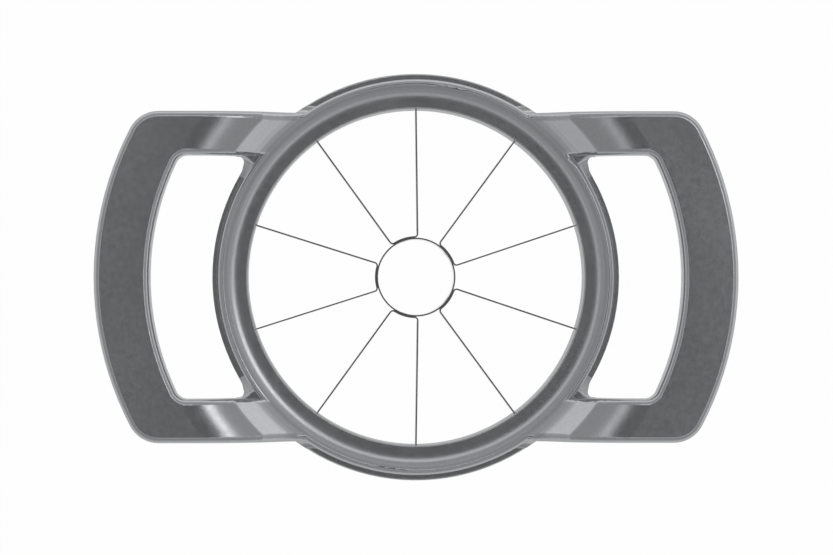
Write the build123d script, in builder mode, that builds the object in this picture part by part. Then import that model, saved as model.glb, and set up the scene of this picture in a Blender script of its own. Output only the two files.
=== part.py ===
"""Ten-wedge apple slicer and corer: a die-cast frame with two loop handles, a star of
five bent blade strips round a corer ring, and the ring and screws that hold the strips in.

The frame stands on its ring. +Z is up, +X runs through the middle of one handle, and the
origin is the centre of the ring at its foot. Sizes are in millimetres and degrees."""

from build123d import *
from math import asin, cos, degrees, radians, sin, sqrt, tan
import os

os.makedirs("parts", exist_ok=True)

# Ring of the frame casting: its bore tapers a little to the lip, a flat and then a shallow
# dish lead from the lip out to the rim, and a shoulder stands out below the rim
bore_radius = 47.5
bore_taper = 0.85
lip_width = 2.0
lip_height = 22.0
lip_round = 0.4
dish_width = 6.1
rim_round = 1.2
shoulder_width = 2.15
shoulder_height = 14.0
shoulder_round = 0.4
foot_round = 0.5
inner_wall = 2.2
outer_wall = 2.2
shoulder_roof = 2.5

# Flare: the dish runs on over the arms as one turned surface, first hollow, then straight,
# then over a soft crease and a long crown into the flat of the grips
dish_radius = 11.5
flare_slope = 42.0
straight_width = 4.12
crease_slope = 24.0
crease_round = 2.0
crown_width = 12.6
flare_under_round = 9.0

# Handles, in plan and in section: the opening starts a little past the crown's end, and the
# arms' outer sides are set in from the rim
grip_thickness = 9.0
grip_width = 15.05
opening_margin = 0.13
arm_width = 11.94
arm_setback = 9.32
grip_corner_round = 8.8
opening_corner_round = 3.4
handle_edge_round = 1.6
outer_gusset_round = 2.5
root_round = 1.4
root_inset = 0.3

# Webs in the openings' narrow corners: how far each stands out beyond the corner along the arm,
# where its side and its foot lie along the shoulder from the corner, and its ramp
web_overhang = 1.5
web_side_reach = 4.52
web_foot_reach = 6.21
web_length = 5.6
web_slope = 35.0
web_round = 2.5

# Blade strips
strip_count = 5
strip_thickness = 0.4
blade_foot = 1.2
blade_height = 14.5
bevel_height = 1.6
edge_flat = 0.06
hub_bend_radius = 0.9
hub_spread = 1.3
strip_turns = (-0.35, -0.9, -0.25, 1.25, 0.35)
tab_length = 6.0
tab_bend_radius = 0.5
tab_clearance = 0.1
slot_clearance = 0.1

# Corer ring, and the weld marks where the strips are held to it
corer_radius = 11.0
corer_wall = 0.4
corer_below_blades = 0.6
corer_above_blades = 1.3
weld_gap = 0.05
weld_radius = 1.1
weld_depth = 0.12
weld_above_foot = 4.3
weld_below_top = 3.7

# Retaining ring and its screws, which close the channel under the ring
groove_width = 2.1
groove_headroom = 1.3
keeper_foot = 0.6
keeper_thickness = 2.0
keeper_clearance = 0.15
screw_count = 5
screw_radius = 1.0
screw_head_radius = 1.95
screw_length = 8.0
screw_tip_length = 1.4
screw_clearance = 0.05
pilot_headroom = 1.0
boss_overlap = 0.3
recess_width = 0.55
recess_reach = 1.15
recess_depth = 0.8

# What follows from the sizes above
lip_radius = bore_radius - bore_taper
lip_flat_radius = lip_radius + lip_width
rim_radius = lip_flat_radius + dish_width
shoulder_radius = rim_radius + shoulder_width
channel_inner = bore_radius + inner_wall
channel_outer = shoulder_radius - outer_wall
channel_roof = shoulder_height - shoulder_roof
groove_outer = channel_inner + groove_width
channel_middle = (channel_inner + channel_outer) / 2
boss_radius = (channel_outer - channel_inner) / 2 + boss_overlap
blade_top = blade_foot + blade_height
corer_foot = blade_foot - corer_below_blades
corer_top = blade_top + corer_above_blades
weld_heights = (blade_foot + weld_above_foot, blade_top - weld_below_top)
groove_roof = blade_top + groove_headroom
keeper_top = keeper_foot + keeper_thickness
strip_pitch = 360 / strip_count
half_spread = strip_pitch / 4
hub_radius = corer_radius + weld_gap + strip_thickness / 2
tab_radius = channel_inner + tab_clearance + strip_thickness / 2
screw_pitch = 360 / screw_count

# The flare's tangent points: where the dish passes the rim and the arms' roots, where it
# turns straight, and where the crown begins and ends
rim_slope = degrees(asin(dish_width / dish_radius))
root_radius = lip_flat_radius + dish_width / 2
root_slope = degrees(asin((root_radius - lip_flat_radius) / dish_radius))
straight_radius = lip_flat_radius + dish_radius * sin(radians(flare_slope))
straight_height = lip_height + dish_radius * (1 - cos(radians(flare_slope)))
crease_radius = straight_radius + straight_width
crease_height = straight_height + straight_width * tan(radians(flare_slope))
crown_radius = crown_width / sin(radians(crease_slope))
flare_end_radius = crease_radius + crown_width
grip_top = crease_height + crown_radius * (1 - cos(radians(crease_slope)))
grip_bottom = grip_top - grip_thickness
under_end_radius = shoulder_radius + (grip_bottom - shoulder_height) / tan(radians(flare_slope))
dish_centre = (lip_flat_radius, lip_height + dish_radius)
crown_centre = (flare_end_radius, grip_top - crown_radius)

# The handles' outline
grip_inner_radius = flare_end_radius + opening_margin
grip_outer_radius = grip_inner_radius + grip_width
arm_outer_half = rim_radius - arm_setback
arm_inner_half = arm_outer_half - arm_width

# The webs start from where the shoulder's circle crosses the arms' inner sides, and their
# ramps end where a hollow turns up to the arms
web_corner_angle = degrees(asin(arm_inner_half / shoulder_radius))
web_half = shoulder_radius * cos(radians(web_corner_angle)) + web_overhang
web_side_angle = web_corner_angle - degrees(web_side_reach / shoulder_radius)
web_foot_angle = web_corner_angle - degrees(web_foot_reach / shoulder_radius)
web_ramp_run = web_length - web_round * (1 - sin(radians(web_slope)))
web_ramp_top = shoulder_height + web_ramp_run * tan(radians(web_slope))
web_top = web_ramp_top + web_round * cos(radians(web_slope))

# How far cutting tools run past the faces they cut
beyond = 2.0


def export(part, name):
    """Label one finished piece and write it as its own file."""
    part.label = name
    export_step(part, f"parts/{name}.step")


def round_corners(section, corners):
    """Round each (place, radius) corner of a section."""
    for place, radius in corners:
        fillet(section.vertices().sort_by_distance(place)[0], radius)


def ring_section():
    """Half section of the ring: bore wall, lip, dish, rim, shoulder and foot, with the channel
    for the strips' tabs open below and a narrow groove above it."""
    with BuildSketch(Plane.XZ) as section:
        with BuildLine():
            dish = CenterArc(dish_centre, dish_radius, -90, rim_slope)
            rim = dish @ 1
            Polyline(
                rim,
                (rim_radius, shoulder_height),
                (shoulder_radius, shoulder_height),
                (shoulder_radius, 0),
                (channel_outer, 0),
                (channel_outer, channel_roof),
                (groove_outer, channel_roof),
                (groove_outer, groove_roof),
                (channel_inner, groove_roof),
                (channel_inner, 0),
                (bore_radius, 0),
                (lip_radius, lip_height),
                dish @ 0,
            )
        make_face()
        round_corners(
            section,
            (
                (rim, rim_round),
                ((shoulder_radius, shoulder_height), shoulder_round),
                ((shoulder_radius, 0), foot_round),
                ((bore_radius, 0), foot_round),
                ((lip_radius, lip_height), lip_round),
            ),
        )
    return section.sketch


def flare_section():
    """Half section of the turned slab that the handles are cut from: the flare's surface on
    top, and below it the underside that rises from the shoulder to the grips."""
    with BuildSketch(Plane.XZ) as section:
        with BuildLine():
            dish = CenterArc(dish_centre, dish_radius, root_slope - 90, flare_slope - root_slope)
            Line(dish @ 1, (crease_radius, crease_height))
            crown = CenterArc(crown_centre, crown_radius, 90, crease_slope)
            Polyline(
                crown @ 0,
                (grip_outer_radius + beyond, grip_top),
                (grip_outer_radius + beyond, grip_bottom),
                (under_end_radius, grip_bottom),
                (shoulder_radius, shoulder_height),
                (root_radius, shoulder_height),
                dish @ 0,
            )
        make_face()
        round_corners(
            section,
            (
                ((crease_radius, crease_height), crease_round),
                ((under_end_radius, grip_bottom), flare_under_round),
            ),
        )
    return section.sketch


def loop_plan():
    """Plan of both handles: loops cut from a wide disc, with arms that run in to the ring."""
    with BuildSketch() as plan:
        Circle(grip_outer_radius)
        Rectangle(2 * grip_outer_radius, 2 * arm_outer_half, mode=Mode.INTERSECT)
        fillet(plan.vertices(), grip_corner_round)
        with BuildSketch(mode=Mode.SUBTRACT) as opening:
            Circle(grip_inner_radius)
            Rectangle(2 * grip_inner_radius, 2 * arm_inner_half, mode=Mode.INTERSECT)
            fillet(opening.vertices(), opening_corner_round)
    return plan.sketch


def root_section():
    """Half section of the space round the ring that the arm roots may fill: all above a cone
    that carries on the flare's underside."""
    cone_foot = shoulder_radius - beyond / tan(radians(flare_slope))
    with BuildSketch(Plane.XZ) as section:
        with BuildLine():
            Polyline(
                (root_radius, shoulder_height - beyond),
                (cone_foot, shoulder_height - beyond),
                (under_end_radius, grip_bottom),
                (root_radius, grip_bottom),
                close=True,
            )
        make_face()
    return section.sketch


def root_plan():
    """Plan of the arm roots: the shoulder's disc and the arms, a web that fills each narrow
    corner between them in the openings, and all these corners rounded."""
    arm_middle = (arm_outer_half + arm_inner_half) / 2
    arm_places = ((0, arm_middle), (0, -arm_middle))
    side_foot = Vector(shoulder_radius, 0).rotate(Axis.Z, web_side_angle)
    with BuildSketch() as plan:
        Circle(shoulder_radius)
        with Locations(arm_places):
            Rectangle(2 * under_end_radius, arm_width)
        for across, along in ((1, 1), (-1, 1), (-1, -1), (1, -1)):
            with BuildLine():
                Polyline(
                    (0, along * side_foot.Y),
                    (across * side_foot.X, along * side_foot.Y),
                    (across * web_half, along * arm_inner_half),
                    (across * web_half, along * arm_middle),
                    (0, along * arm_middle),
                    close=True,
                )
            make_face()
        fillet(plan.vertices().filter_by(lambda corner: abs(corner.X) < under_end_radius - 1), root_round)
        with BuildSketch(mode=Mode.SUBTRACT):
            with Locations(arm_places):
                Rectangle(2 * grip_outer_radius, arm_width - 2 * root_inset)
            Circle(shoulder_radius - root_inset, mode=Mode.SUBTRACT)
    return plan.sketch


def root_end():
    """End view of the arm roots: a small hollow leads from the shoulder to the arms' outer
    sides."""
    foot = shoulder_height - beyond
    centre = (arm_outer_half + outer_gusset_round, shoulder_height + outer_gusset_round)
    with BuildSketch(Plane.YZ.offset(-under_end_radius)) as end:
        with BuildLine():
            hollow = CenterArc(centre, outer_gusset_round, 180, 90)
            Polyline(
                hollow @ 0,
                (arm_inner_half, web_top),
                (0, web_top),
                (0, foot),
                (centre[0], foot),
                hollow @ 1,
            )
        make_face()
        mirror(about=Plane.YZ)
    return end.sketch


def web_clearance():
    """Section, square to the radius at a web's foot, of the space above the web: over the
    shoulder, up a ramp that follows the ring, and up a hollow to the arm's side."""
    out = Vector(1, 0).rotate(Axis.Z, web_foot_angle)
    half_way = shoulder_radius * sin(radians(web_foot_angle)) + beyond
    hollow_centre = (web_length - web_round, web_top)
    with BuildSketch(Plane((0, 0, 0), x_dir=out.rotate(Axis.Z, 90), z_dir=out)) as space:
        with BuildLine():
            hollow = CenterArc(hollow_centre, web_round, web_slope - 90, 90 - web_slope)
            Polyline(
                hollow @ 0,
                (0, shoulder_height),
                (-half_way, shoulder_height),
                (-half_way, grip_top),
                (web_length, grip_top),
                hollow @ 1,
            )
        make_face()
    return space.sketch


arm_start = Plane.XY.offset(shoulder_height - beyond)
arm_depth = grip_top - shoulder_height + 2 * beyond

# The two handle loops, their edges rounded all along
with BuildPart() as handles:
    revolve(flare_section(), axis=Axis.Z)
    with BuildSketch(arm_start):
        add(loop_plan())
    extrude(amount=arm_depth, mode=Mode.INTERSECT)
    inner_end = root_radius + beyond
    walls = handles.faces().filter_by(
        lambda face: abs(face.normal_at().Z) < 0.01
        and sqrt(face.center().X ** 2 + face.center().Y ** 2) > inner_end
    )
    fillet(walls.edges().filter_by(lambda edge: abs((edge % 0.5).Z) < 0.99), handle_edge_round)

# The space over the webs in the openings' narrow corners
with BuildPart() as web_spaces:
    extrude(web_clearance(), amount=grip_outer_radius)
    mirror(about=Plane.XZ)
    mirror(about=Plane.YZ)

# The roots that brace the arms on the shoulder
with BuildPart() as roots:
    revolve(root_section(), axis=Axis.Z)
    with BuildSketch(arm_start):
        add(root_plan())
    extrude(amount=arm_depth, mode=Mode.INTERSECT)
    extrude(root_end(), amount=2 * under_end_radius, dir=(1, 0, 0), mode=Mode.INTERSECT)
    add(web_spaces.part, mode=Mode.SUBTRACT)

# The frame casting: the ring with a slot for each spoke and a boss for each screw, and the
# handles and their roots in one with it
with BuildPart() as frame_casting:
    revolve(ring_section(), axis=Axis.Z)
    with BuildSketch(Plane.XY.offset(keeper_top)):
        with PolarLocations(channel_middle, screw_count, start_angle=screw_pitch / 2):
            Circle(boss_radius)
    extrude(amount=channel_roof - keeper_top + shoulder_roof / 2)
    with BuildSketch(Plane.XY.offset(keeper_top)):
        with PolarLocations(channel_middle, screw_count, start_angle=screw_pitch / 2):
            Circle(screw_radius + screw_clearance)
    extrude(amount=keeper_foot + screw_length + pilot_headroom - keeper_top, mode=Mode.SUBTRACT)
    with BuildSketch(Plane.XY.offset(-beyond)):
        with PolarLocations(bore_radius, 2 * strip_count, start_angle=half_spread):
            Rectangle(2 * (inner_wall + tab_clearance), strip_thickness + 2 * slot_clearance)
    extrude(amount=blade_top + slot_clearance + beyond, mode=Mode.SUBTRACT)
    add(handles.part)
    add(roots.part)
export(frame_casting.part, "frame_casting")


def strip_path(turn):
    """Centre line of one strip seen from above, its middle along +X: a tab behind the ring's
    wall, a spoke in to the hub, an arc that hugs the corer, and the same way out again.
    The hub end is turned by a degree or so, as hand fitting leaves it."""
    bend_centre_radius = hub_radius + hub_bend_radius
    bend_lead = degrees(asin(hub_bend_radius / bend_centre_radius))
    bend_angle = half_spread + hub_spread - bend_lead
    with BuildLine() as path:
        for side in (1, -1):
            out = Vector(1, 0).rotate(Axis.Z, side * half_spread)
            across = out.rotate(Axis.Z, side * 90)
            hub_out = Vector(1, 0).rotate(Axis.Z, turn + side * (half_spread + hub_spread))
            hub_end = Vector(hub_radius, 0).rotate(Axis.Z, turn + side * bend_angle)
            spoke_foot = hub_out * sqrt(bend_centre_radius**2 - hub_bend_radius**2)
            tab_corner = out * tab_radius
            spoke = Line(spoke_foot, tab_corner - out * tab_bend_radius)
            bend = TangentArc(spoke @ 1, tab_corner + across * tab_bend_radius, tangent=spoke % 1)
            Line(bend @ 1, tab_corner + across * tab_length)
            TangentArc(spoke_foot, hub_end, tangent=hub_out * -1)
        CenterArc((0, 0), hub_radius, turn - bend_angle, 2 * bend_angle)
    return path.wires()[0]


def blade_strip(turn):
    """One bent strip of blade steel, ground to an edge below, with two weld marks at the hub
    and its tabs cut short above the retaining ring."""
    path = strip_path(turn)
    along = path % 0
    half = strip_thickness / 2
    with BuildPart() as strip:
        with BuildSketch(Plane(path @ 0, x_dir=Vector(0, 0, 1).cross(along), z_dir=along)) as section:
            with BuildLine():
                Polyline(
                    (-half, blade_top),
                    (half, blade_top),
                    (half, blade_foot + bevel_height),
                    (edge_flat / 2, blade_foot),
                    (-edge_flat / 2, blade_foot),
                    (-half, blade_foot + bevel_height),
                    close=True,
                )
            make_face()
        sweep(section.sketch, path=path)
        with BuildSketch():
            Circle(shoulder_radius)
            Circle(channel_inner, mode=Mode.SUBTRACT)
        extrude(amount=keeper_top + tab_clearance, mode=Mode.SUBTRACT)
        with BuildSketch(Plane.YZ.offset(hub_radius + half - weld_depth)):
            with Locations([(0, height) for height in weld_heights]):
                Circle(weld_radius)
        extrude(amount=hub_bend_radius, mode=Mode.SUBTRACT)
    return strip.part


# The five blade strips, each welded to the corer at its own slight turn
for index, turn in enumerate(strip_turns):
    strip = blade_strip(turn).rotate(Axis.Z, (index + 0.5) * strip_pitch)
    export(strip, f"blade_strip_{index + 1}")

# The corer ring, ground to an edge below, with weld marks inside where each strip sits
with BuildPart() as corer_ring:
    with BuildSketch(Plane.XZ):
        with BuildLine():
            Polyline(
                (corer_radius - corer_wall, corer_foot),
                (corer_radius - corer_wall + edge_flat, corer_foot),
                (corer_radius, corer_foot + bevel_height),
                (corer_radius, corer_top),
                (corer_radius - corer_wall, corer_top),
                close=True,
            )
        make_face()
    revolve(axis=Axis.Z)
    for index in range(strip_count):
        middle = (index + 0.5) * strip_pitch
        radial = Vector(1, 0).rotate(Axis.Z, middle)
        with BuildSketch(Plane((0, 0, 0), x_dir=radial.rotate(Axis.Z, 90), z_dir=radial)):
            with Locations([(0, height) for height in weld_heights]):
                Circle(weld_radius)
        extrude(amount=corer_radius - corer_wall + weld_depth, mode=Mode.SUBTRACT)
export(corer_ring.part, "corer_ring")

# The retaining ring that closes the channel, countersunk from below
with BuildPart() as retaining_ring:
    with BuildSketch(Plane.XY.offset(keeper_foot)):
        Circle(channel_outer - keeper_clearance)
        Circle(channel_inner + keeper_clearance, mode=Mode.SUBTRACT)
    extrude(amount=keeper_thickness)
    with Locations(Plane((0, 0, keeper_foot), x_dir=(1, 0, 0), z_dir=(0, 0, -1))):
        with PolarLocations(channel_middle, screw_count, start_angle=screw_pitch / 2):
            CounterSinkHole(
                screw_radius + screw_clearance, screw_head_radius + screw_clearance, counter_sink_angle=90
            )
export(retaining_ring.part, "retaining_ring")

# One countersunk tapping screw with a cross recess in its head, point up
with BuildPart() as screw:
    with BuildSketch(Plane.XZ):
        with BuildLine():
            Polyline(
                (0, keeper_foot),
                (screw_head_radius, keeper_foot),
                (screw_radius, keeper_foot + screw_head_radius - screw_radius),
                (screw_radius, keeper_foot + screw_length - screw_tip_length),
                (screw_radius / 4, keeper_foot + screw_length),
                (0, keeper_foot + screw_length),
                close=True,
            )
        make_face()
    revolve(axis=Axis.Z)
    with BuildSketch(Plane.XY.offset(keeper_foot)):
        with PolarLocations(0, 2, angular_range=180):
            Rectangle(2 * recess_reach, recess_width)
    extrude(amount=recess_depth, mode=Mode.SUBTRACT)

# The set of screws, one in each boss
with BuildPart() as retaining_screws:
    with PolarLocations(channel_middle, screw_count, start_angle=screw_pitch / 2):
        add(screw.part)
export(retaining_screws.part, "retaining_screws")
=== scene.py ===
"""Apple slicer: finishes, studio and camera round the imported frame.

Lengths are in metres, in the frame's own axes: +Z up, +X through the middle of the right
handle, the origin at the ring's foot. Every surface is procedural: the cast frame is blasted and
lightly turned round its rim, the strips and the corer are ground steel with weld tints at the
hub, and the ring and screws that hold the strips in are plain stainless."""

from math import cos, pi, radians, sin, tan

import bpy
from mathutils import Matrix, Vector


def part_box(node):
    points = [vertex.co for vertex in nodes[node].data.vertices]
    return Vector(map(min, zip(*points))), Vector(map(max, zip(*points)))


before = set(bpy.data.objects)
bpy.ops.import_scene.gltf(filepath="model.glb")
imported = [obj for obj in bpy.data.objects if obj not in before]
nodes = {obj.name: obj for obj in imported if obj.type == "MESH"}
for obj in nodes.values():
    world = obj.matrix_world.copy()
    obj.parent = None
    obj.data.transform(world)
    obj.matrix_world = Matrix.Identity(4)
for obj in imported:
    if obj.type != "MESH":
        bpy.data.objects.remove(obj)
bpy.context.view_layer.update()

MM = 0.001


# ---------------------------------------------------------------- shader building blocks

class Shader:
    """Adds nodes to one node tree and wires them, so that a material reads as a list."""

    def __init__(self, tree):
        self.tree = tree
        self.nodes = tree.nodes
        self.nodes.clear()

    def add(self, kind, settings=None, **inputs):
        """A node of a kind, with its settings, and its inputs as values or as sockets."""
        node = self.nodes.new(kind)
        for name, value in (settings or {}).items():
            setattr(node, name, value)
        for name, value in inputs.items():
            self.feed(node.inputs[name.replace("_", " ")], value)
        return node

    def feed(self, socket, value):
        if isinstance(value, bpy.types.NodeSocket):
            self.tree.links.new(value, socket)
        else:
            socket.default_value = value

    def math(self, operation, *values):
        node = self.nodes.new("ShaderNodeMath")
        node.operation = operation
        for socket, value in zip(node.inputs, values):
            self.feed(socket, value)
        return node.outputs[0]

    def total(self, first, *others):
        for other in others:
            first = self.math("ADD", first, other)
        return first

    def vector(self, operation, *values):
        node = self.nodes.new("ShaderNodeVectorMath")
        node.operation = operation
        for socket, value in zip(node.inputs, values):
            self.feed(socket, value)
        return node.outputs["Value" if operation in ("LENGTH", "DOT_PRODUCT") else "Vector"]

    def split(self, vector):
        return self.add("ShaderNodeSeparateXYZ", Vector=vector).outputs

    def join(self, x, y, z):
        return self.add("ShaderNodeCombineXYZ", X=x, Y=y, Z=z).outputs[0]

    def remap(self, value, low, high, to_low=0.0, to_high=1.0):
        """Value from low..high to to_low..to_high by a smooth step, held at both ends."""
        node = self.add(
            "ShaderNodeMapRange", {"interpolation_type": "SMOOTHSTEP"},
            Value=value, From_Min=low, From_Max=high, To_Min=to_low, To_Max=to_high,
        )
        return node.outputs["Result"]

    def band(self, value, rise, fall):
        """A mask that rises to 1 over the first pair of values and falls back over the second."""
        return self.math("MULTIPLY", self.remap(value, *rise), self.remap(value, *fall, 1.0, 0.0))

    def noise(self, place, scale, detail=2.0, roughness=0.5):
        """Smooth noise from about -0.5 to 0.5, with scale features to each unit of the place."""
        node = self.add("ShaderNodeTexNoise", Vector=place, Scale=scale, Detail=detail, Roughness=roughness)
        return self.math("SUBTRACT", node.outputs[0], 0.5)

    def scaled(self, value, amount):
        return self.math("MULTIPLY", value, amount)

    def mix(self, factor, first, second):
        """Colour mix of first and second. The node's colour sockets share their names with its
        other kinds of sockets, so they are taken by number."""
        node = self.add("ShaderNodeMix", {"data_type": "RGBA"})
        self.feed(node.inputs[0], factor)
        self.feed(node.inputs[6], first)
        self.feed(node.inputs[7], second)
        return node.outputs[2]


def new_group(name, inputs, outputs):
    """An empty shader group with inputs {name: default} and the named outputs, all single
    numbers. It comes with its builder, its inputs' sockets and its outputs' sockets."""
    tree = bpy.data.node_groups.new(name, "ShaderNodeTree")
    for label, default in inputs.items():
        socket = tree.interface.new_socket(label, in_out="INPUT", socket_type="NodeSocketFloat")
        socket.default_value = default
    for label in outputs:
        tree.interface.new_socket(label, in_out="OUTPUT", socket_type="NodeSocketFloat")
    s = Shader(tree)
    return tree, s, s.add("NodeGroupInput").outputs, s.add("NodeGroupOutput").inputs


# ---------------------------------------------------------------- effects shared by the metals

WAVES_PER_METRE = 60.0
DRIFTS_PER_METRE = 38.0
PITS_PER_GRAIN = 0.4
PIT_HEIGHT = 0.8
PIT_ROUGHNESS = 0.06
DRIFT_ROUGHNESS = 0.05


def blasted_skin():
    """Bead-blasted metal: fine pits, a slow waviness left by the die or the rolls, and a tone and
    a roughness that drift a little over the surface. Height is in units of one pit's depth."""
    tree, s, given, out = new_group(
        "blasted_skin",
        {"Grain Size": 0.3 * MM, "Speckle": 0.05, "Tone Drift": 0.06, "Roughness": 0.25, "Waviness": 0.6},
        ("Tone", "Roughness", "Height"),
    )
    place = s.add("ShaderNodeTexCoord").outputs["Object"]
    grain_scale = s.math("DIVIDE", 1.0, given["Grain Size"])
    grain = s.noise(place, grain_scale, detail=2.0, roughness=0.6)
    pits = s.noise(place, s.scaled(grain_scale, PITS_PER_GRAIN), detail=1.0)
    wave = s.noise(place, WAVES_PER_METRE, detail=1.0)
    drift = s.noise(place, DRIFTS_PER_METRE, detail=3.0)
    tone = s.total(1.0, s.scaled(drift, given["Tone Drift"]), s.scaled(grain, given["Speckle"]))
    rough = s.total(given["Roughness"], s.scaled(pits, PIT_ROUGHNESS), s.scaled(drift, DRIFT_ROUGHNESS))
    s.feed(out["Tone"], tone)
    s.feed(out["Roughness"], rough)
    s.feed(out["Height"], s.total(grain, s.scaled(pits, PIT_HEIGHT), s.scaled(wave, given["Waviness"])))
    return tree


COIL_DRIFT = 0.7


def turned_lines():
    """Fine lines left by a cutter that turned about the Z axis, between two radii. They are
    noise along the radius alone, with a slow change round the circle."""
    tree, s, given, out = new_group(
        "turned_lines",
        {"Inner Radius": 50 * MM, "Outer Radius": 55 * MM, "Pitch": 0.5 * MM, "Soft Edge": 0.8 * MM},
        ("Line",),
    )
    place = s.split(s.add("ShaderNodeTexCoord").outputs["Object"])
    radius = s.vector("LENGTH", s.join(place["X"], place["Y"], 0.0))
    turn = s.math("ARCTAN2", place["Y"], place["X"])
    coil = s.join(s.math("DIVIDE", radius, given["Pitch"]), s.scaled(s.math("SINE", turn), COIL_DRIFT), 0.0)
    line = s.noise(coil, 1.0, detail=2.0, roughness=0.7)
    rise = (given["Inner Radius"], s.math("ADD", given["Inner Radius"], given["Soft Edge"]))
    fall = (s.math("SUBTRACT", given["Outer Radius"], given["Soft Edge"]), given["Outer Radius"])
    s.feed(out["Line"], s.math("MULTIPLY", line, s.band(radius, rise, fall)))
    return tree


BEVEL_SOFTNESS = 0.15 * MM
BEVEL_TONE = 0.06
BEVEL_ROUGHNESS = -0.06
GRAIN_TONE = 0.16
GRAIN_ROUGHNESS = 0.12
STAIN_TONE = 0.1
STAINS_PER_METRE = 120.0


def ground_steel():
    """Steel strip as it comes from grinding: long level scratches, and below a given height the
    cutting bevel, with short upright grinding marks and a brighter face."""
    tree, s, given, out = new_group(
        "ground_steel",
        {"Scratch Length": 9 * MM, "Scratch Pitch": 0.16 * MM, "Bevel Top": 2.8 * MM, "Roughness": 0.25},
        ("Tone", "Roughness", "Height"),
    )
    spot = s.add("ShaderNodeTexCoord").outputs["Object"]
    place = s.split(spot)
    level = s.join(
        s.math("DIVIDE", place["X"], given["Scratch Length"]),
        s.math("DIVIDE", place["Y"], given["Scratch Length"]),
        s.math("DIVIDE", place["Z"], given["Scratch Pitch"]),
    )
    upright = s.join(
        s.math("DIVIDE", place["X"], given["Scratch Pitch"]),
        s.math("DIVIDE", place["Y"], given["Scratch Pitch"]),
        s.math("DIVIDE", place["Z"], given["Scratch Length"]),
    )
    scratches = s.noise(level, 1.0, detail=3.0, roughness=0.65)
    marks = s.noise(upright, 0.8, detail=2.0)
    bevel_edge = s.math("SUBTRACT", given["Bevel Top"], BEVEL_SOFTNESS)
    bevel = s.remap(place["Z"], bevel_edge, given["Bevel Top"], 1.0, 0.0)
    plain = s.math("SUBTRACT", 1.0, bevel)
    grain = s.total(s.math("MULTIPLY", scratches, plain), s.math("MULTIPLY", marks, bevel))
    stain = s.noise(spot, STAINS_PER_METRE, detail=2.0)
    tone = s.total(
        1.0, s.scaled(grain, GRAIN_TONE), s.scaled(stain, STAIN_TONE), s.scaled(bevel, BEVEL_TONE)
    )
    rough = s.total(given["Roughness"], s.scaled(grain, GRAIN_ROUGHNESS), s.scaled(bevel, BEVEL_ROUGHNESS))
    s.feed(out["Tone"], tone)
    s.feed(out["Roughness"], rough)
    s.feed(out["Height"], grain)
    return tree


# Rings of a weld's heat tint, in shares of the weld's radius, and how far their edges wander
BURN_EDGE = (0.85, 1.15)
BLUE_RING = ((0.9, 1.3), (1.4, 1.9))
STRAW_RING = ((1.4, 1.8), (2.0, 3.0))
WOBBLES_PER_METRE = 900.0
WOBBLE = 0.7 * MM


def weld_tint():
    """Heat tint round the spot welds, which lie in pairs on the hub's cylinder, one pair in the
    middle of each strip's arc. Burn is the dark print of the electrode, Straw and Blue are the
    rings of oxide round it."""
    tree, s, given, out = new_group(
        "weld_tint",
        {"Hub Radius": 11 * MM, "Weld Count": 5.0, "Lower Weld": 5.5 * MM, "Upper Weld": 12 * MM,
         "Weld Radius": 1.1 * MM},
        ("Burn", "Straw", "Blue"),
    )
    spot = s.add("ShaderNodeTexCoord").outputs["Object"]
    place = s.split(spot)
    turn = s.math("ARCTAN2", place["Y"], place["X"])
    strips = s.scaled(s.math("DIVIDE", turn, 2 * pi), given["Weld Count"])
    aside = s.math("SUBTRACT", s.math("FRACT", s.math("ADD", strips, given["Weld Count"])), 0.5)
    round_hub = s.math("MULTIPLY", s.scaled(aside, 2 * pi), given["Hub Radius"])
    arc = s.math("DIVIDE", round_hub, given["Weld Count"])
    wobble = s.scaled(s.noise(spot, WOBBLES_PER_METRE), WOBBLE)
    near = []
    for height in ("Lower Weld", "Upper Weld"):
        rise = s.math("SUBTRACT", place["Z"], given[height])
        near.append(s.vector("LENGTH", s.join(arc, rise, 0.0)))
    distance = s.math("ADD", s.math("MINIMUM", *near), wobble)
    share = s.math("DIVIDE", distance, given["Weld Radius"])
    s.feed(out["Burn"], s.remap(share, *BURN_EDGE, 1.0, 0.0))
    s.feed(out["Blue"], s.band(share, *BLUE_RING))
    s.feed(out["Straw"], s.band(share, *STRAW_RING))
    return tree


SMUDGES_PER_PATCH = 3.1
POLISHED = (0.0, 0.25)
SMUDGED = (0.05, 0.3)


def hand_wear():
    """Slightly polished and slightly smudged patches where the metal is handled and wiped."""
    tree, s, given, out = new_group(
        "hand_wear",
        {"Patch Size": 14 * MM, "Amount": 0.04},
        ("Polish", "Smudge"),
    )
    place = s.add("ShaderNodeTexCoord").outputs["Object"]
    scale = s.math("DIVIDE", 1.0, given["Patch Size"])
    broad = s.noise(place, scale, detail=3.0, roughness=0.6)
    fine = s.noise(place, s.scaled(scale, SMUDGES_PER_PATCH), detail=2.0)
    s.feed(out["Polish"], s.scaled(s.remap(broad, *POLISHED), given["Amount"]))
    s.feed(out["Smudge"], s.scaled(s.remap(fine, *SMUDGED), given["Amount"]))
    return tree


groups = {
    "skin": blasted_skin(),
    "turned": turned_lines(),
    "ground": ground_steel(),
    "weld": weld_tint(),
    "wear": hand_wear(),
}


# ---------------------------------------------------------------- materials

def metal(name, base, roughness):
    """A metal material, the builder for its nodes and its shader."""
    material = bpy.data.materials.new(name)
    material.use_nodes = True
    s = Shader(material.node_tree)
    body = s.add("ShaderNodeBsdfPrincipled")
    body.inputs["Base Color"].default_value = (*base, 1.0)
    body.inputs["Metallic"].default_value = 1.0
    body.inputs["Roughness"].default_value = roughness
    output = s.add("ShaderNodeOutputMaterial")
    s.feed(output.inputs["Surface"], body.outputs[0])
    return material, s, body


def placed(s, effect, **values):
    """One of the shared groups in a material, with its own values."""
    node = s.add("ShaderNodeGroup", {"node_tree": groups[effect]})
    for name, value in values.items():
        s.feed(node.inputs[name.replace("_", " ")], value)
    return node.outputs


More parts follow.
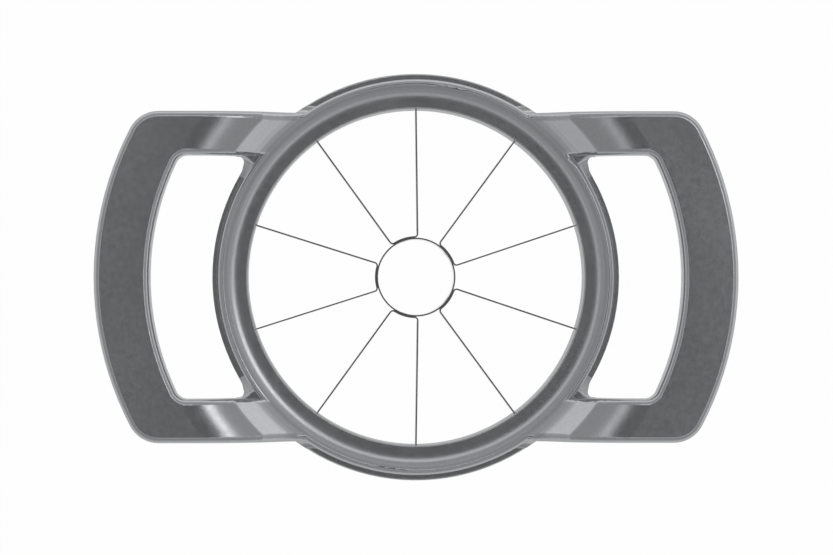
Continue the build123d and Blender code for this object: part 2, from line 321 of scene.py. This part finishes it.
def toned(s, base, tone):
    """The base colour made lighter or darker by a tone of about 1."""
    return s.vector("MULTIPLY", tuple(base), s.join(tone, tone, tone))


def bumped(s, height, depth, **surface):
    """The normal after a relief of the height and depth, on the surface's own normal or another."""
    return s.add("ShaderNodeBump", Height=height, Strength=1.0, Distance=depth, **surface).outputs["Normal"]


def turned_normal(s):
    """The surface's normal. The lip, the dish and the rim are turned about the Z axis, so there
    it never leans along the circle, not even where the mesh's thinnest facets do."""
    normal = s.add("ShaderNodeNewGeometry").outputs["Normal"]
    place = s.split(s.add("ShaderNodeTexCoord").outputs["Object"])
    radius = s.vector("LENGTH", s.join(place["X"], place["Y"], 0.0))
    along = s.vector("NORMALIZE", s.join(s.scaled(place["Y"], -1.0), place["X"], 0.0))
    turned = s.math("MULTIPLY", s.remap(radius, *RIM_EDGE, 1.0, 0.0), s.remap(place["Z"], *LIP_EDGE))
    lean = s.math("MULTIPLY", s.vector("DOT_PRODUCT", normal, along), turned)
    upright = s.vector("SUBTRACT", normal, s.vector("MULTIPLY", along, s.join(lean, lean, lean)))
    return s.vector("NORMALIZE", upright)


CAST_BASE = (0.54, 0.55, 0.57)
CAST_ROUGHNESS = 0.2
CAST_PIT_DEPTH = 0.006 * MM
UNDER_ROUGHNESS = 0.36
UNDER_TONE = 0.85
UNDER_PITS = 5.0
LINE_TONE = 0.5
LINE_PITS = 7.0
STEEL_BASE = (0.66, 0.66, 0.665)
STEEL_SCRATCH_DEPTH = 0.004 * MM
# How dark the steel's upper edge is painted, as painted shade
UPPER_EDGE_SHADE = 0.72
BURN_ROUGHNESS = 0.2

# Heat tints from the outer ring inwards: the tint, its colour and how much of the steel it covers
HEAT_TINTS = (
    ("Straw", (0.46, 0.36, 0.2, 1.0), 0.75),
    ("Blue", (0.2, 0.23, 0.36, 1.0), 0.7),
    ("Burn", (0.22, 0.21, 0.21, 1.0), 0.6),
)

# Where the casting's turned lines begin and end, where its turned surface ends at the rim, and
# the heights between which that surface begins above the bore's wall
RIM_LINES = (50.6 * MM, 56.6 * MM)
RIM_EDGE = (54.6 * MM, 54.75 * MM)
LIP_EDGE = (20.0 * MM, 20.5 * MM)

# Upward share of the normal at which a face counts as an underside, and as the steel's upper edge, which is
# cut by shearing and gets painted shade
UNDER_FACING = (-0.1, -0.6)
UPPER_EDGE_FACING = (0.6, 0.9)


def cast_aluminium():
    """The frame: satin blasted aluminium with turned lines on the dish by the rim. Faces that
    look down were never blasted smooth, so they are duller and coarser, and their colour is darker."""
    material, s, body = metal("cast_aluminium", CAST_BASE, CAST_ROUGHNESS)
    skin = placed(s, "skin", Grain_Size=0.6 * MM, Speckle=0.17, Tone_Drift=0.03, Roughness=CAST_ROUGHNESS)
    coarse = placed(s, "skin", Grain_Size=0.8 * MM, Speckle=0.1, Tone_Drift=0.2, Roughness=UNDER_ROUGHNESS)
    lines = placed(s, "turned", Inner_Radius=RIM_LINES[0], Outer_Radius=RIM_LINES[1], Pitch=0.9 * MM)
    wear = placed(s, "wear", Patch_Size=14 * MM, Amount=0.015)
    facing = s.split(s.add("ShaderNodeTexCoord").outputs["Normal"])["Z"]
    under = s.remap(facing, *UNDER_FACING)
    above = s.math("SUBTRACT", 1.0, under)
    line = s.scaled(lines["Line"], above)
    # Faces that look down get a darker colour
    tone = s.total(
        s.scaled(skin["Tone"], above),
        s.scaled(coarse["Tone"], s.scaled(under, UNDER_TONE)),
        s.scaled(line, LINE_TONE),
    )
    s.feed(body.inputs["Base Color"], toned(s, CAST_BASE, tone))
    rough = s.total(
        s.scaled(skin["Roughness"], above),
        s.scaled(coarse["Roughness"], under),
        wear["Smudge"],
    )
    s.feed(body.inputs["Roughness"], s.math("SUBTRACT", rough, wear["Polish"]))
    height = s.total(
        s.scaled(skin["Height"], above),
        s.scaled(coarse["Height"], s.scaled(under, UNDER_PITS)),
        s.scaled(line, LINE_PITS),
    )
    s.feed(body.inputs["Normal"], bumped(s, height, CAST_PIT_DEPTH, Normal=turned_normal(s)))
    return material


def hub_steel(name, roughness, hub_radius, bevel_top, scratch_length):
    """Steel of the strips and the corer: ground, bevelled at its foot and tinted at its welds.
    The narrow upper edge is cut by shearing, not ground, and so has no scratches; its darker colour there
    is painted shade."""
    material, s, body = metal(name, STEEL_BASE, roughness)
    ground = placed(s, "ground", Scratch_Length=scratch_length, Bevel_Top=bevel_top, Roughness=roughness)
    weld = placed(s, "weld", Hub_Radius=hub_radius)
    wear = placed(s, "wear", Patch_Size=9 * MM, Amount=0.05)
    facing = s.split(s.add("ShaderNodeTexCoord").outputs["Normal"])["Z"]
    # The upper edge has no scratches, and its colour is darkened there as painted shade
    upper_edge = s.remap(facing, *UPPER_EDGE_FACING)
    flank = s.math("SUBTRACT", 1.0, upper_edge)
    shade = s.remap(upper_edge, 0.0, 1.0, 1.0, UPPER_EDGE_SHADE)
    colour = toned(s, STEEL_BASE, s.math("MULTIPLY", ground["Tone"], shade))
    for tint, tint_colour, cover in HEAT_TINTS:
        colour = s.mix(s.scaled(weld[tint], cover), colour, tint_colour)
    s.feed(body.inputs["Base Color"], colour)
    rough = s.total(ground["Roughness"], s.scaled(weld["Burn"], BURN_ROUGHNESS), wear["Smudge"])
    s.feed(body.inputs["Roughness"], rough)
    scratches = s.math("MULTIPLY", ground["Height"], flank)
    s.feed(body.inputs["Normal"], bumped(s, scratches, STEEL_SCRATCH_DEPTH))
    return material


PLATE_LINE_TONE = 0.2
PLATE_LINE_PITS = 1.5


def retaining_steel():
    """Rolled stainless plate, punched out as a ring: dull, with a faint turned grain below."""
    base = (0.52, 0.52, 0.53)
    roughness = 0.36
    material, s, body = metal("retaining_steel", base, roughness)
    skin = placed(s, "skin", Grain_Size=0.5 * MM, Speckle=0.12, Tone_Drift=0.14, Roughness=roughness)
    lines = placed(s, "turned", Inner_Radius=48 * MM, Outer_Radius=57 * MM, Pitch=0.25 * MM)
    tone = s.total(skin["Tone"], s.scaled(lines["Line"], PLATE_LINE_TONE))
    height = s.total(skin["Height"], s.scaled(lines["Line"], PLATE_LINE_PITS))
    s.feed(body.inputs["Base Color"], toned(s, base, tone))
    s.feed(body.inputs["Roughness"], skin["Roughness"])
    s.feed(body.inputs["Normal"], bumped(s, height, depth=0.005 * MM))
    return material


def screw_steel():
    """Plain stainless screws, a little scuffed round the cross recess."""
    base = (0.56, 0.56, 0.56)
    roughness = 0.3
    material, s, body = metal("screw_steel", base, roughness)
    skin = placed(s, "skin", Grain_Size=0.18 * MM, Speckle=0.2, Tone_Drift=0.2, Roughness=roughness)
    wear = placed(s, "wear", Patch_Size=1.2 * MM, Amount=0.12)
    s.feed(body.inputs["Base Color"], toned(s, base, skin["Tone"]))
    s.feed(body.inputs["Roughness"], s.total(skin["Roughness"], wear["Smudge"]))
    s.feed(body.inputs["Normal"], bumped(s, skin["Height"], depth=0.004 * MM))
    return material


# How high the bevel at the steel's foot is, and how far outside the corer the middle of a strip lies
BEVEL_HEIGHT = 1.6 * MM
STRIP_ON_CORER = 0.25 * MM

strip_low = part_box("blade_strip_1")[0]
corer_low, corer_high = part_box("corer_ring")
corer_radius = (corer_high[0] - corer_low[0]) / 2
strip_radius = corer_radius + STRIP_ON_CORER

# Each finish by the name of its node, or by the first word of the names that share it
finishes = {
    "frame": cast_aluminium(),
    "blade": hub_steel(
        "blade_steel", roughness=0.2, hub_radius=strip_radius,
        bevel_top=strip_low[2] + BEVEL_HEIGHT, scratch_length=12 * MM,
    ),
    "corer": hub_steel(
        "corer_steel", roughness=0.16, hub_radius=corer_radius,
        bevel_top=corer_low[2] + BEVEL_HEIGHT, scratch_length=5 * MM,
    ),
    "retaining_ring": retaining_steel(),
    "retaining_screws": screw_steel(),
}
for name, node in nodes.items():
    finish = finishes.get(name) or finishes[name.split("_")[0]]
    for slot in node.material_slots:
        slot.material = finish


# ---------------------------------------------------------------- studio

WHITE = (1.0, 1.0, 1.0, 1.0)

# How white the camera sees the floor, and the metal sees it. In the corer the metal sees it
# whiter, a painted reflection for the tube's bright inside: wholly out to the first radius, and less
# and less up to the second.
FLOOR_HALF = 1.5
FLOOR_PAINT = (0.8, 0.8, 0.8, 1.0)
FLOOR_WHITE = 0.985
FLOOR_IN_METAL = 0.48
FLOOR_IN_CORER = 1.0
CORER_REFLECTION_PATCH = (11.0 * MM, 14.0 * MM)

# The lens and the sensor are in millimetres, as the camera takes them
CAMERA_SPOT = Vector((-8.0 * MM, -2.0 * MM, 726.0 * MM))
AIM = Vector((0.34 * MM, -0.06 * MM, 0.0))
LENS = 109.97
SENSOR = 36.0
CLIP_START = 10.0 * MM

# Brightness of each part of the studio, how much brighter it is on the bright side, and the
# stronger lamp in the light ring with its own side and half its width
STAND = 0.12
TENT, TENT_BIAS = 0.385, 0.08
LOW_TENT = 0.472
WALL, WALL_BIAS = 0.908, 0.215
LIGHT_RING, LIGHT_RING_BIAS = 0.42, 0.36
KEY_LIGHT = 1.2
BRIGHT_SIDE = radians(64)
KEY_SIDE = radians(30)
KEY_HALF_WIDTH = radians(26)

# Where each part begins and ends, in degrees: the first two from the light ring's own axis,
# which leans to the back right, the others from straight up
RING_INNER = (10.1, 15.6)
RING_OUTER = (19.0, 22.0)
LIGHT_RING_LEAN = radians(1.3)
TENT_FOOT = (45.0, 62.0)
WALL_FOOT = (60.0, 88.0)

# Keeps a division from running off straight above, where a direction has no azimuth
SMALLEST_SINE = 0.02


def floor():
    """A pale floor that the camera sees as white. The metal sees it greyer, except under
    the corer, where it glows white in reflections alone: a painted reflection that gives the tube its
    bright inside. A trace of the shadow stays, and from below the floor is clear, so that the
    slicer's underside can be seen."""
    mesh = bpy.data.meshes.new("floor")
    corners = [(x * FLOOR_HALF, y * FLOOR_HALF, 0) for x, y in ((-1, -1), (1, -1), (1, 1), (-1, 1))]
    mesh.from_pydata(corners, [], [(0, 1, 2, 3)])
    plane = bpy.data.objects.new("floor", mesh)
    bpy.context.collection.objects.link(plane)
    material = bpy.data.materials.new("floor")
    material.use_nodes = True
    s = Shader(material.node_tree)
    paint = s.add("ShaderNodeBsdfDiffuse", Color=FLOOR_PAINT)
    white = s.add("ShaderNodeEmission", Color=WHITE, Strength=1.0)
    rays = s.add("ShaderNodeLightPath").outputs
    spot = s.add("ShaderNodeTexCoord").outputs["Object"]
    # Painted reflection: under the corer, glossy rays see the floor whiter than elsewhere
    glow = s.remap(s.vector("LENGTH", spot), *CORER_REFLECTION_PATCH, FLOOR_IN_CORER, FLOOR_IN_METAL)
    seen = s.math("MAXIMUM", rays["Is Camera Ray"], s.math("MULTIPLY", rays["Is Glossy Ray"], glow))
    mixed = s.add("ShaderNodeMixShader", Fac=s.scaled(seen, FLOOR_WHITE))
    s.feed(mixed.inputs[1], paint.outputs[0])
    s.feed(mixed.inputs[2], white.outputs[0])
    from_below = s.add("ShaderNodeMixShader", Fac=s.add("ShaderNodeNewGeometry").outputs["Backfacing"])
    s.feed(from_below.inputs[1], mixed.outputs[0])
    s.feed(from_below.inputs[2], s.add("ShaderNodeBsdfTransparent").outputs[0])
    output = s.add("ShaderNodeOutputMaterial")
    s.feed(output.inputs["Surface"], from_below.outputs[0])
    mesh.materials.append(material)


def studio_level(s):
    """Brightness in each direction: a dark camera stand overhead, a ring of light round it with
    one stronger lamp, a plain tent further down, and walls that brighten towards the floor."""
    way = s.add("ShaderNodeTexCoord").outputs["Generated"]
    zenith = s.math("DEGREES", s.math("ARCCOSINE", s.split(way)["Z"]))
    lean = tan(LIGHT_RING_LEAN)
    axis = Vector((lean, lean, 1.0)).normalized()
    off_axis = s.math("DEGREES", s.math("ARCCOSINE", s.vector("DOT_PRODUCT", way, tuple(axis))))
    outward = s.math("MAXIMUM", s.math("SINE", s.math("RADIANS", zenith)), SMALLEST_SINE)

    def towards(azimuth):
        """Cosine of the turn from an azimuth to the direction, seen from above."""
        ahead = s.vector("DOT_PRODUCT", way, (cos(azimuth), sin(azimuth), 0.0))
        return s.math("DIVIDE", ahead, outward)

    side = towards(BRIGHT_SIDE)

    def biased(level, bias):
        """A level that is brighter on the bright side and darker across from it."""
        return s.math("MULTIPLY_ADD", side, level * bias, level)

    past_stand = s.remap(off_axis, *RING_INNER)
    in_ring = s.band(off_axis, RING_INNER, RING_OUTER)
    key = s.remap(towards(KEY_SIDE), cos(KEY_HALF_WIDTH), 1.0, 0.0, KEY_LIGHT)
    ring = s.math("ADD", biased(LIGHT_RING, LIGHT_RING_BIAS), key)
    tent = s.math("SUBTRACT", biased(TENT, TENT_BIAS), STAND)
    wall = s.math("SUBTRACT", biased(WALL, WALL_BIAS), LOW_TENT)
    return s.total(
        STAND,
        s.math("MULTIPLY", tent, past_stand),
        s.math("MULTIPLY", ring, in_ring),
        s.scaled(s.remap(zenith, *TENT_FOOT), LOW_TENT - TENT),
        s.math("MULTIPLY", wall, s.remap(zenith, *WALL_FOOT)),
    )


def surround():
    """The studio round the object; the camera sees it as plain white."""
    world = bpy.data.worlds.new("studio")
    bpy.context.scene.world = world
    world.use_nodes = True
    s = Shader(world.node_tree)
    light = s.add("ShaderNodeBackground", Color=WHITE, Strength=studio_level(s))
    white = s.add("ShaderNodeBackground", Color=WHITE, Strength=1.0)
    mixed = s.add("ShaderNodeMixShader", Fac=s.add("ShaderNodeLightPath").outputs["Is Camera Ray"])
    s.feed(mixed.inputs[1], light.outputs[0])
    s.feed(mixed.inputs[2], white.outputs[0])
    output = s.add("ShaderNodeOutputWorld")
    s.feed(output.inputs["Surface"], mixed.outputs[0])


def camera():
    """A camera almost straight above, with the top of its picture towards +Y."""
    data = bpy.data.cameras.new("camera")
    data.lens = LENS
    data.sensor_width = SENSOR
    data.clip_start = CLIP_START
    seen_from = bpy.data.objects.new("camera", data)
    seen_from.location = CAMERA_SPOT
    ahead = (AIM - CAMERA_SPOT).normalized()
    right = ahead.cross(Vector((0, 1, 0))).normalized()
    turned = Matrix((right, right.cross(ahead), -ahead)).transposed()
    seen_from.rotation_euler = turned.to_euler()
    bpy.context.collection.objects.link(seen_from)
    bpy.context.scene.camera = seen_from


floor()
surround()
camera()
bpy.context.scene.view_settings.view_transform = "Standard"
